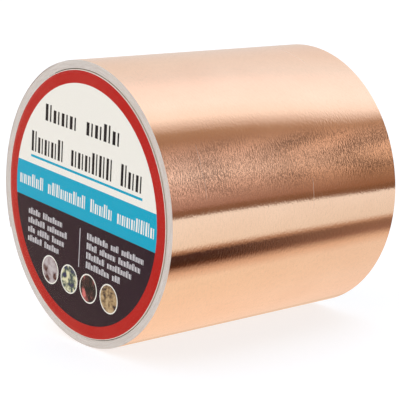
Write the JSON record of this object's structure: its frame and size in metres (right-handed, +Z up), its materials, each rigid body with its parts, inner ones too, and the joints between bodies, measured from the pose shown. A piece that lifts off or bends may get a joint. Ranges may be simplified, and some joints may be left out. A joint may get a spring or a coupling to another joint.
{
  "type": "copper foil tape roll",
  "caption": "Roll of wide copper foil tape on a board core, with a printed disc over one end, an open bore at the other and a free end that unrolls and peels off its release paper.",
  "frame": {"origin": "the middle of the paper core, on its axis", "axes": "+Y along the core's axis from the labelled end out of the open end; +Z up as the roll lies on its side; the free tail lies on the -X side"},
  "size_m": [0.0995, 0.1019, 0.0992],
  "materials": {
    "copper_foil": "polished",
    "release_paper": "satin",
    "core_board": "matte",
    "clear_adhesive": "satin",
    "printed_card": "satin",
    "gloss_film": "gloss"
  },
  "bodies": {
    "roll": {"core_ply_01": "core_board", "core_ply_02": "core_board", "core_ply_03": "core_board", "core_ply_04": "core_board", "core_ply_05": "core_board", "core_ply_06": "core_board", "core_ply_07": "core_board", "core_ply_08": "core_board", "core_ply_09": "core_board", "core_ply_10": "core_board", "core_ply_11": "core_board", "core_ply_12": "core_board", "starter_tape": "clear_adhesive", "release_liner": "release_paper", "copper_foil_tape": "copper_foil", "label_adhesive": "clear_adhesive", "label_card": "printed_card", "label_film": "gloss_film"},
    "tail_1": {"tail_liner_1": "release_paper", "tail_foil_1": "copper_foil"},
    "tail_2": {"tail_liner_2": "release_paper", "tail_foil_2": "copper_foil"},
    "tail_3": {"tail_liner_3": "release_paper", "tail_foil_3": "copper_foil"},
    "tail_4": {"tail_liner_4": "release_paper", "tail_foil_4": "copper_foil"},
    "tail_5": {"tail_liner_5": "release_paper", "tail_foil_5": "copper_foil"},
    "tail_6": {"tail_liner_6": "release_paper", "tail_foil_6": "copper_foil"},
    "flap_1": {"flap_foil_1": "copper_foil"},
    "flap_2": {"flap_foil_2": "copper_foil"},
    "flap_3": {"flap_foil_3": "copper_foil"}
  },
  "joints": [
    {"name": "tail_unroll", "type": "hinge", "parent": "roll", "child": "tail_1", "pos_m": [-0.01704, 0, 0.0468], "axis": [0, 1, 0], "range_deg": [0, 12]},
    {"name": "tail_unroll_2", "type": "hinge", "parent": "tail_1", "child": "tail_2", "pos_m": [-0.02639, 0, 0.04224], "axis": [0, 1, 0], "range_deg": [0, 12]},
    {"name": "tail_unroll_3", "type": "hinge", "parent": "tail_2", "child": "tail_3", "pos_m": [-0.0346, 0, 0.03583], "axis": [0, 1, 0], "range_deg": [0, 12]},
    {"name": "tail_unroll_4", "type": "hinge", "parent": "tail_3", "child": "tail_4", "pos_m": [-0.04129, 0, 0.02785], "axis": [0, 1, 0], "range_deg": [0, 12]},
    {"name": "tail_unroll_5", "type": "hinge", "parent": "tail_4", "child": "tail_5", "pos_m": [-0.04618, 0, 0.01866], "axis": [0, 1, 0], "range_deg": [0, 12]},
    {"name": "tail_unroll_6", "type": "hinge", "parent": "tail_5", "child": "tail_6", "pos_m": [-0.04905, 0, 0.00865], "axis": [0, 1, 0], "range_deg": [0, 12]},
    {"name": "foil_peel", "type": "hinge", "parent": "tail_6", "child": "flap_1", "pos_m": [-0.04961, 0, 0.00521], "axis": [0, 1, 0], "range_deg": [0, 50]},
    {"name": "foil_peel_2", "type": "hinge", "parent": "flap_1", "child": "flap_2", "pos_m": [-0.04986, 0, -0.00174], "axis": [0, 1, 0], "range_deg": [0, 50]},
    {"name": "foil_peel_3", "type": "hinge", "parent": "flap_2", "child": "flap_3", "pos_m": [-0.04913, 0, -0.00866], "axis": [0, 1, 0], "range_deg": [0, 50]}
  ],
  "couplings": [
    {"joint": "tail_unroll_2", "follows": "tail_unroll", "ratio": 1},
    {"joint": "tail_unroll_3", "follows": "tail_unroll", "ratio": 1},
    {"joint": "tail_unroll_4", "follows": "tail_unroll", "ratio": 1},
    {"joint": "tail_unroll_5", "follows": "tail_unroll", "ratio": 1},
    {"joint": "tail_unroll_6", "follows": "tail_unroll", "ratio": 1},
    {"joint": "foil_peel_2", "follows": "foil_peel", "ratio": 1},
    {"joint": "foil_peel_3", "follows": "foil_peel", "ratio": 1}
  ]
}
